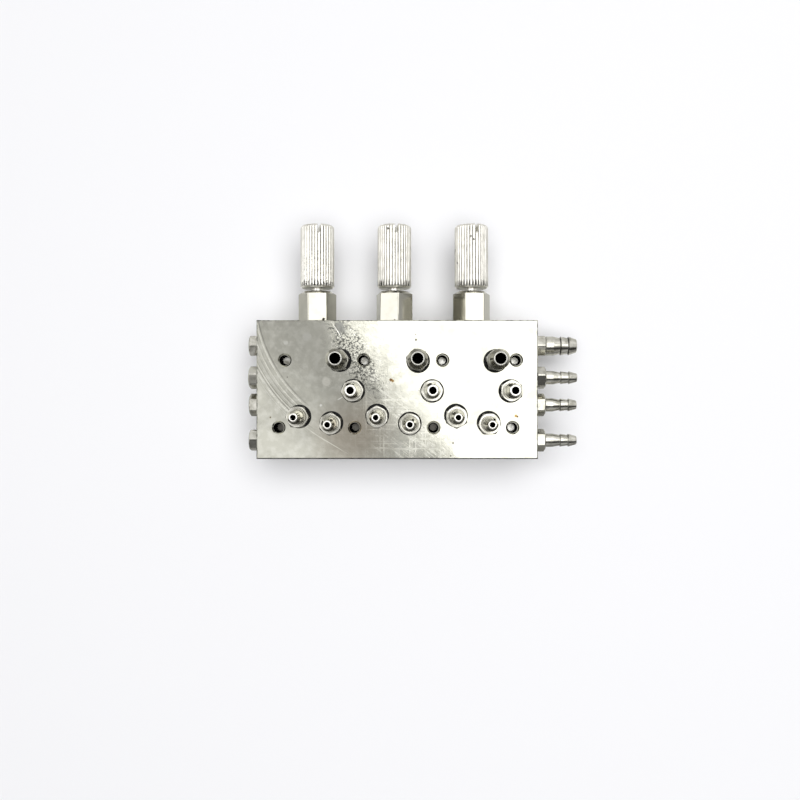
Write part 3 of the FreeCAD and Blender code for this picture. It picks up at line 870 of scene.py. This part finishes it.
@dataclass(frozen=True)
class NeedleValve:
    """A station's needle valve: the bonnet's hexagon, and the knob with its neck, stem and needle."""

    number: int
    bonnet_plate: Material
    knob_plate: Material
    bonnet_turn: float
    slot_turn: float
    bonnet_flats: float = 9.8
    bonnet_length: float = 9.0
    bonnet_crown: float = 0.9
    bonnet_stub: float = 7.2
    bonnet_stub_length: float = 8.0
    bonnet_bore: float = 4.1
    bonnet_sharpness: float = 110.0
    nut_points: int = 180
    stub_points: int = 72
    stem: float = 4.0
    stem_gap: float = 1.0
    needle: float = 2.4
    needle_point: float = 0.6
    needle_taper: float = 2.8
    packing_groove: Pair = (4.02, 2.88)
    packing_depth: float = 0.6
    neck: float = 3.0
    neck_inset: float = 1.0
    knob_gap: float = 1.0
    knob: float = 10.0
    knob_length: float = 18.75
    flutes: int = 34
    flute_depth: float = 0.42
    flute_sharpness: float = 0.4
    end_rounding: float = 1.1
    foot_chamfer: float = 0.5
    foot_length: float = 0.6
    points_a_flute: int = 12
    slot_width: float = 1.1
    slot_depth: float = 2.4

    def seat(self, turn: float) -> Seat:
        """The valve's axis where it leaves the block's edge."""
        x, _, z = np.mean(node_corners(f"flow_knob_{self.number}"), axis=0)
        return Seat((x, node_corners("manifold_block")[1][1], z), Facing.KNOB_EDGE, turn)

    def build_bonnet(self) -> None:
        """Make the bonnet: a long hexagon with a stub, both round the stem's bore."""
        seat = self.seat(self.bonnet_turn)
        corner = self.bonnet_flats / math.sqrt(3)
        top = corner - self.bonnet_crown / math.tan(math.radians(30))
        bore = self.bonnet_bore / 2
        # Shade is painted into the bore and at the hexagon's foot, and a painted highlight on the crown.
        nut = [
            (bore, 0, 1), (corner, 0, 0.4), (corner, 0.3, 0), (corner, self.bonnet_length - self.bonnet_crown, 0),
            (top, self.bonnet_length, -0.9), (bore, self.bonnet_length, 0.3),
        ]
        half = self.bonnet_stub / 2
        stub = [
            (bore, -self.bonnet_stub_length, 1), (half, -self.bonnet_stub_length, 0), (half, 0, 0), (bore, 0, 1),
        ]
        shells = [
            lathe(
                rounded(nut, 0.14, closed=True), seat, self.nut_points,
                milled_hexagon(self.bonnet_flats, self.bonnet_sharpness), ring=True,
            ),
            lathe(rounded(stub, 0.1, closed=True), seat, self.stub_points, ring=True),
        ]
        name = f"needle_bonnet_{self.number}"
        settle(make_piece("milled_" + name, shells), self.bonnet_plate, VALVE_BLOCK, "nickel_plated_fitting", name)

    def fluted(self, blank: Array, angle: Array, height: Array) -> Array:
        """Knurl the knob: r = root + depth |sin(n t / 2)|^0.4, so lands are broad and grooves narrow."""
        root = self.knob / 2 - self.flute_depth
        flutes = root + self.flute_depth * np.abs(np.sin(self.flutes * angle / 2)) ** self.flute_sharpness
        return np.minimum(blank, flutes)

    def spindle_outline(self, tip: float) -> Array:
        """The section of knob, neck, stem and needle.

        Args:
            tip: the height of the needle's tip, in mm.

        Returns:
            (radius, height, shade) points from the needle's tip to the middle of the knob's end.
        """
        foot = self.bonnet_length + self.knob_gap
        end = foot + self.knob_length
        crest = self.knob / 2
        stem, neck, needle = self.stem / 2, self.neck / 2, self.needle / 2
        throat = stem - self.packing_depth
        start = self.stem_gap - self.bonnet_stub_length
        low, high = (self.bonnet_length - depth for depth in self.packing_groove)
        top = self.bonnet_length - self.neck_inset
        shaft = rounded([
            (0, tip, 0), (self.needle_point / 2, tip, 0), (needle, tip + self.needle_taper, 0), (needle, start, 0),
            (stem, start, 0), (stem, low, 0), (throat, low, 0), (throat, high, 0), (stem, high, 0), (stem, top, 0),
            (neck, top, 0), (neck, foot, 0), (crest, foot, 0),
        ], 0.1, closed=False)[:-1]
        # The foot's cone gets painted shade at its foot and a painted highlight above it.
        foot_cone = np.linspace((crest - self.foot_chamfer, foot, 0.3), (crest, foot + self.foot_length, -0.5), 10)
        side = np.linspace((crest, foot + self.foot_length + 0.3, 0), (crest, end - self.end_rounding - 0.6, 0), 12)
        bend = np.linspace(0, math.pi / 2, 12)
        dome = np.stack([
            crest - self.end_rounding + self.end_rounding * np.cos(bend),
            end - self.end_rounding + self.end_rounding * np.sin(bend), 0 * bend,
        ], axis=-1)
        return np.vstack([shaft, foot_cone, side, dome, [(0.0, end, 0.0)]])

    def build_spindle(self) -> None:
        """Make knob, neck, stem and needle from one bar, and saw the slot across the knob's end.

        The grooves get painted shade by how deep they lie below the blank: shade = (blank - r) / depth. Where
        they run out at the foot, the mark goes up to 2, full painted shade.
        """
        seat = self.seat(self.slot_turn)
        low, _ = node_corners(f"flow_knob_{self.number}")
        outline = self.spindle_outline(low[1] - seat.point[1])
        around = self.points_a_flute * self.flutes
        shell = lathe(outline, seat, around, self.fluted)
        angle = np.linspace(0, 2 * math.pi, around, endpoint=False)[None]
        blank, height = outline[:, :1], outline[:, 1:2]
        groove = (blank - self.fluted(blank, angle, height)) / self.flute_depth
        run_out = self.bonnet_length + self.knob_gap + self.foot_length + 0.5
        groove = np.where(height < run_out, np.minimum(3 * np.sqrt(groove), 2), groove)
        marks = shell.marks.copy()
        marks[..., 1] = np.where(groove > 0.05, groove, marks[..., 1])
        name = f"flow_knob_{self.number}"
        piece = make_piece("knurled_" + name, [replace(shell, marks=marks)])
        self.saw_slot(piece, seat)
        settle(piece, self.knob_plate, name, "nickel_plated_knob", name)

    def saw_slot(self, piece: Object, seat: Seat) -> None:
        """Cut the screwdriver slot across the knob's end.

        Args:
            piece: the spindle.
            seat: where it stands.
        """
        end = self.bonnet_length + self.knob_gap + self.knob_length
        across = self.knob / 2 + 1
        half = self.slot_width / 2
        square = np.array([(-half, -across), (half, -across), (half, across), (-half, across)])
        heights = np.array([end - self.slot_depth, end + 1])
        loops = np.stack([np.column_stack([square, np.full(4, height)]) for height in heights])
        saw = make_piece("slot_saw", [Shell(seat.place(loops), np.zeros((2, 4, 2)), ring=False)])
        cut = piece.modifiers.new("slot", "BOOLEAN")
        cut.operation = "DIFFERENCE"
        cut.solver = "EXACT"
        cut.object = saw
        shape = piece.evaluated_get(bpy.context.evaluated_depsgraph_get())
        piece.data = bpy.data.meshes.new_from_object(shape)
        piece.modifiers.clear()
        bpy.data.objects.remove(saw)
        piece.data.materials.clear()


@dataclass(frozen=True)
class ClampThreads:
    """The threads in the face's eight tapped holes, each above the end of the screw inside."""

    material: Material
    wall: float = 1.65
    depth: float = 0.22
    pitch: float = 0.7
    low: float = 21.15
    high: float = 25.6
    points: int = 40

    def threaded(self, blank: Array, angle: Array, height: Array) -> Array:
        """Cut the thread: r = wall - depth tri(h / pitch - t / 2 pi), where tri rises to 1 and falls in a turn."""
        turn = (height / self.pitch - angle / (2 * math.pi)) % 1
        tooth = np.clip(1.3 * (1 - np.abs(2 * turn - 1)) - 0.15, 0, 1)
        return np.where(blank > self.wall, blank, self.wall - 0.02 - self.depth * tooth)

    def build(self) -> None:
        """Make all eight threads as one piece."""
        thread = np.linspace((self.wall, self.low, 1), (self.wall, self.high, 1), self.points)
        outline = np.vstack([thread, [(self.wall + 0.01, self.high, 1), (self.wall + 0.01, self.low, 1)]])
        shells = [
            lathe(outline, Seat((x, y, 0.0), Facing.FACE), self.points, self.threaded, ring=True)
            for x, y in CLAMP_HOLES
        ]
        settle(make_piece("clamp_hole_threads", shells), self.material, VALVE_BLOCK, "nickel_plated_block")


@dataclass(frozen=True)
class FaceWashers:
    """The black fibre washers under the face's barbs, each set off its barb's axis, by mm and towards degrees."""

    material: Material
    washer_offsets: dict[str, tuple[Pair, ...]] = field(default_factory=lambda: {
        "drive_air": ((0.4, 20.0), (0.3, -40.0), (0.3, 200.0)),
        "water": ((0.15, 30.0), (0.1, 10.0), (0.1, 170.0)),
        "cooling_air": ((0.35, 25.0), (0.45, 90.0), (0.45, 100.0)),
        "signal": ((0.3, 60.0), (0.1, 80.0), (0.35, 95.0)),
    })
    radius: float = 3.45
    bore: float = 2.6
    thickness: float = 0.6
    points: int = 64

    def build(self) -> None:
        """Make the twelve washers as one piece, each set off its barb's axis by its offset."""
        section = rounded([
            (self.bore, 0, 0), (self.radius, 0, 0), (self.radius, self.thickness, 0), (self.bore, self.thickness, 0),
        ], 0.1, closed=True)
        top = node_corners("manifold_block")[1][2]
        shells = []
        for supply, ways in self.washer_offsets.items():
            for number, (way, angle) in zip(STATION_NUMBERS, ways):
                x, y, _ = np.mean(node_corners(f"{supply}_barb_{number}"), axis=0)
                turn = math.radians(angle)
                seat = Seat((x + way * math.cos(turn), y + way * math.sin(turn), top), Facing.FACE)
                shells.append(lathe(section, seat, self.points, ring=True))
        piece = make_piece("offset_face_washers", shells)
        settle(piece, self.material, VALVE_BLOCK, "black_fibre_washer", "face_barb_washers")


@dataclass(frozen=True)
class Studio:
    """The photograph's camera, a pale floor, two lamps and a surround of uneven brightness.

    Places are in mm. The floor, the lamps' widths, and where the floor starts and ends to change are in metres.
    """

    camera_point: Point = (3.46, -3.64, 296.0)
    lens: float = 41.7
    shift: Pair = (-0.01125, 0.0025)
    lamp_point: Point = (233.0, 185.5, 726.0)
    lamp_turn: float = 38.5
    lamp_side: float = 0.6
    lamp_level: float = 2.1
    lamp_way: Point = (0.783, 0.622, 0.0)
    dome_point: Point = (120.0, 90.0, 1200.0)
    dome_radius: float = 0.58
    dome_level: float = 5.2
    room_level: float = 0.15
    floor_side: float = 3.0
    floor_colour: str = "#f1f1f3"
    floor_mirrored: str = "#e4e4e2"
    floor_mirrored_near: str = "#949492"
    floor_near: Pair = (-0.008, -0.03)
    floor_fade: Pair = (0.16, 0.5)

    def add_camera(self) -> None:
        """Stand the camera straight over the block's face."""
        data = bpy.data.cameras.new("camera")
        data.lens = self.lens
        data.sensor_width = 36.0
        data.shift_x, data.shift_y = self.shift
        data.clip_start, data.clip_end = 0.01, 20.0
        camera = add_object("camera", data)
        camera.location = np.array(self.camera_point) * MM
        bpy.context.scene.camera = camera

    def add_lamps(self) -> None:
        """Hang a square lamp whose near edge the block's face mirrors, and a round one overhead for the table.

        Each has the power that gives its radiance: pi times the level times its area.
        """
        square, disk = self.lamp_side ** 2, math.pi * self.dome_radius ** 2
        for name, shape, point, size, power in (
            ("mirrored_lamp", "SQUARE", self.lamp_point, self.lamp_side, self.lamp_level * square),
            ("table_lamp", "DISK", self.dome_point, 2 * self.dome_radius, self.dome_level * disk),
        ):
            data = bpy.data.lights.new(name, "AREA")
            data.shape = shape
            data.size = size
            data.energy = math.pi * power
            lamp = add_object(name, data)
            lamp.location = np.array(point) * MM
            lamp.rotation_euler = (0, 0, math.radians(self.lamp_turn))
            lamp.visible_diffuse = shape == "DISK"
            lamp.visible_glossy = shape == "SQUARE"

    def add_floor(self) -> None:
        """Lay a pale floor under the block, which runs out into white far away.

        Mirrored in metal it is greyer, and darker towards -Y.
        """
        half = self.floor_side / 2
        corners = [(-half, -half, 0), (half, -half, 0), (half, half, 0), (-half, half, 0)]
        mesh = bpy.data.meshes.new("floor")
        mesh.from_pydata(corners, [], [(0, 1, 2, 3)])
        floor = add_object("floor", mesh)
        material = bpy.data.materials.new("white_table")
        material.use_nodes = True
        tree = material.node_tree
        graph = Graph(tree, add_node(tree, "TexCoord").outputs["Object"])
        path = add_node(tree, "LightPath").outputs
        mirrored = graph.blend(
            graph.ramp(graph.axes()[1], *self.floor_near), linear(self.floor_mirrored),
            linear(self.floor_mirrored_near),
        )
        shader = feed(tree, tree.nodes["Principled BSDF"], {
            "Base Color": graph.blend(path["Is Glossy Ray"], linear(self.floor_colour), mirrored),
            "Roughness": 0.9, "Specular IOR Level": 0.1,
        })
        far = graph.ramp(graph.vector("LENGTH", graph.place), *self.floor_fade, interpolation_type="SMOOTHSTEP")
        white = graph.product(far, path["Is Camera Ray"])
        surface = add_node(tree, "MixShader", [white, shader, add_node(tree, "Emission")])
        feed(tree, tree.nodes["Material Output"], {"Surface": surface})
        mesh.materials.append(material)

    def add_surround(self) -> None:
        """Make the surround: white to the camera, and to the object a room lit from overhead and the right."""
        world = bpy.data.worlds.new("surround")
        world.use_nodes = True
        bpy.context.scene.world = world
        tree = world.node_tree
        graph = Graph(tree, add_node(tree, "TexCoord").outputs["Generated"])
        x, y, z = graph.axes()
        across = graph.vector("DOT_PRODUCT", graph.place, self.lamp_way)
        # A direction's part along an axis, where a change starts and ends, and the brightness at both ends.
        changes = (
            (z, 0.1, 0.95, 0.55, 1.0),  # paler overhead than at the horizon
            (y, -0.42, -0.12, 0.1, 1.0),  # dark halfway up towards -Y
            (y, 0.3, 0.6, 1.0, 1.6),  # brighter towards the knobs
            (across, -0.14, -0.045, 1.4, 0.72),  # dim beside the lamp's near edge
            (across, 0.15, 0.5, 1.0, 1.65),  # bright beyond the lamp
        )
        window = (2.5, (x, -0.9, -0.84), (x, -0.36, -0.42), (y, -0.22, -0.14), (y, 0.5, 0.42), (z, 0.3, 0.4))
        back_wall = (0.6, (y, -0.62, -0.8))

        def smooth(row: tuple) -> Node:
            """A change as a smooth ramp."""
            return graph.ramp(*row, interpolation_type="SMOOTHSTEP")

        level = graph.product(1.0, *map(smooth, changes))
        for brightness, *sides in (window, back_wall):
            level = graph.math("MAXIMUM", level, graph.product(brightness, *map(smooth, sides)))
        path = add_node(tree, "LightPath").outputs
        lit = graph.mix(path["Is Glossy Ray"], self.room_level, level)
        feed(tree, tree.nodes["Background"], {
            "Color": linear("#fdfdff"), "Strength": graph.mix(path["Is Camera Ray"], lit, 1.0),
        })


@dataclass
class ValveBlock:
    """The whole valve block: its CAD nodes dressed, its fittings and needle valves made anew.

    The turns are about the pieces' own axes, in degrees, for each station or supply in order. A block spot is x
    and y on the face, then a Spot's radius, colour, length and turn.
    """

    face_turns: dict[str, tuple[float, ...]] = field(default_factory=lambda: {
        "drive_air": (8.0, -14.0, -12.0), "water": (8.0, 3.0, 30.0),
        "cooling_air": (-2.0, 32.0, 30.0), "signal": (26.0, -18.0, 2.0),
    })
    inlet_turns: tuple[float, ...] = (0.0, -14.0, 30.0, 25.0)
    plug_turns: tuple[float, ...] = (0.0, 20.0, 28.0, 9.0)
    bonnet_turns: tuple[float, ...] = (3.2, -16.2, 8.0)
    slot_turns: tuple[float, ...] = (12.0, 9.0, 17.0)
    drive_hexagon_height: float = 3.5
    face_crown: float = 0.27
    small_wall_shade: float = 0.55
    block_spots: tuple[tuple[Any, ...], ...] = (
        (-1.8, 2.8, 0.45, "#5f4322"), (-1.3, 2.5, 0.4, "#7a6238"), (34.6, -7.7, 0.4, "#8a6f3e"),
        (35.1, -7.9, 0.25, "#4d3a20"), (5.5, 14.5, 0.33, "#57544b"), (5.4, 16.0, 0.2, "#6b675c"),
        (15.6, -19.3, 0.25, "#6d6a60"), (-36.9, -8.1, 0.22, "#5a4a33"), (-32.0, 3.6, 0.18, "#77746a"),
        (-22.2, -4.6, 0.35, "#dddcd3"), (-32.4, 13.6, 0.7, "#cfcec4"), (16.3, -15.6, 0.3, "#6a675c"),
        (-16.6, 18.2, 1.3, "#84847e", 4.0, -60.0), (-26.3, 15.4, 1.2, "#c6c5bb"), (-20.7, 2.2, 1.3, "#c8c6bb"),
        (-17.4, 17.0, 0.13, "#e2e1d8", 5.0, -58.0), (-16.6, -2.6, 0.13, "#e6e5dc", 1.8, 30.0),
        (-20.6, -15.0, 0.12, "#cccabd", 12.5, -31.0), (-23.5, -13.2, 0.1, "#c6c4b8", 9.0, -36.0),
    )

    def block_plate(self) -> Material:
        """The plate of manifold and pilot plate, with the marks that the photograph shows."""
        low, high = node_corners("manifold_block", "pilot_plate")
        return MilledPlate(
            "nickel_plated_block", "#b9b8ac", 0.05, low=tuple(low), high=tuple(high),
            joint_height=node_corners("manifold_block")[0][2],
            spots=tuple(Spot((x, y, FACE_Z), *rest) for x, y, *rest in self.block_spots),
        ).material()

    def dress_nodes(self) -> None:
        """Give every CAD node that stays its finish, and make the washers and threads on the face."""
        block = self.block_plate()
        fibre = Plain("black_fibre_washer", "#060606", 0.77, shade="#020202", grain=0.3).material()
        rubber = Plain("moulded_rubber_membrane", "#1b1b1b", 0.47, shade="#111111", grain=0.8).material()
        packing = Plain("turned_white_packing", "#e6e5df", 0.32, shade="#d8d6cd", grain=1.5).material()
        # Spots darken the screw ends in three of the lower holes.
        steel = TurnedPlate("zinc_plated_steel_screw", "#dad9d2", 0.35, spots=tuple(
            Spot((x, y, SCREW_END_Z), 2.2, "#62605a") for x, y in CLAMP_HOLES[4:7]
        )).material()
        for node in ("manifold_block", "pilot_plate"):
            dress(node, block)
        dress("side_port_washers", fibre)
        FaceWashers(fibre).build()
        dress("clamp_screws", steel)
        for number in STATION_NUMBERS:
            for supply in SUPPLIES[:3]:
                dress(f"{supply}_membrane_{number}", rubber)
            dress(f"bonnet_seal_{number}", packing)
            dress(f"stem_seal_{number}", packing)
        ClampThreads(block).build()

    def build_fittings(self) -> None:
        """Make the barbs on the face, and the supply barbs and plugs on the sides."""
        bright = TurnedPlate("nickel_plated_fitting", "#c6c4ba", 0.12).material()
        dull = TurnedPlate(
            "dull_nickel_plated_fitting", "#8a8880", 0.2, haze="#7c7a72", haze_size=1.8, ring_depth=0.004,
            rim="#c9c8c0",
        ).material()
        heights = {"drive_air": self.drive_hexagon_height}
        hoses = {"drive_air": HoseSize.LARGE, "water": HoseSize.MEDIUM}
        for supply, turns in self.face_turns.items():
            plate, shade = (dull, 0.0) if supply == "drive_air" else (bright, self.small_wall_shade)
            for number, turn in zip(STATION_NUMBERS, turns):
                Fitting(
                    f"{supply}_barb_{number}", plate, Facing.FACE, turn, hoses.get(supply, HoseSize.SMALL),
                    heights.get(supply, Fitting.hexagon_height), crown=self.face_crown, wall_shade=shade,
                ).build()
        for supply, inlet_turn, plug_turn in zip(SUPPLIES, self.inlet_turns, self.plug_turns):
            hose = HoseSize.LARGE if supply == "drive_air" else HoseSize.SMALL
            height = heights.get(supply, Fitting.hexagon_height)
            Fitting(f"{supply}_inlet_barb", bright, Facing.INLET_SIDE, inlet_turn, hose, height).build()
            Fitting(f"{supply}_gallery_plug", bright, Facing.PLUG_SIDE, plug_turn, None, height).build()

    def build_needle_valves(self) -> None:
        """Make the three bonnets, and the three knobs with their stems."""
        milled = TurnedPlate(
            "nickel_plated_bonnet", "#b3b1a6", 0.1, haze="#aaa89d", haze_size=4.0, haze_gloss=0.06, ring_depth=0.0,
            spots=(Spot((-21.6, 20.7, 23.9), 0.45, "#1d1b17"), Spot((-0.7, 20.5, 23.9), 0.3, "#26231d")),
        ).material()
        satin = KnurledPlate(
            "satin_nickel_plated_knob", "#e2e0d8", 0.28, haze="#d3d1c8", haze_size=2.0, ring_depth=0.0,
            grime_and_painted_shade="#2b2822", spots=(
                Spot((-2.7, 47.4, 23.6), 0.35, "#5b5a55"), Spot((21.7, 45.1, 24.0), 0.3, "#6b6a64"),
                Spot((22.5, 44.2, 24.0), 0.3, "#5b5a55"), Spot((17.8, 37.5, 21.5), 0.4, "#6b6a64"),
            ),
        ).material()
        for number, bonnet_turn, slot_turn in zip(STATION_NUMBERS, self.bonnet_turns, self.slot_turns):
            valve = NeedleValve(number, milled, satin, bonnet_turn, slot_turn)
            valve.build_bonnet()
            valve.build_spindle()

    def build(self) -> None:
        """Dress the nodes, then make the fittings and needle valves."""
        self.dress_nodes()
        self.build_fittings()
        self.build_needle_valves()


def main() -> None:
    """Build the studio and the valve block."""
    logging.basicConfig(level=logging.INFO, format="%(name)s: %(message)s")
    bpy.context.scene.view_settings.view_transform = "Standard"
    studio = Studio()
    studio.add_camera()
    studio.add_lamps()
    studio.add_floor()
    studio.add_surround()
    ValveBlock().build()


if __name__ == "__main__":
    main()
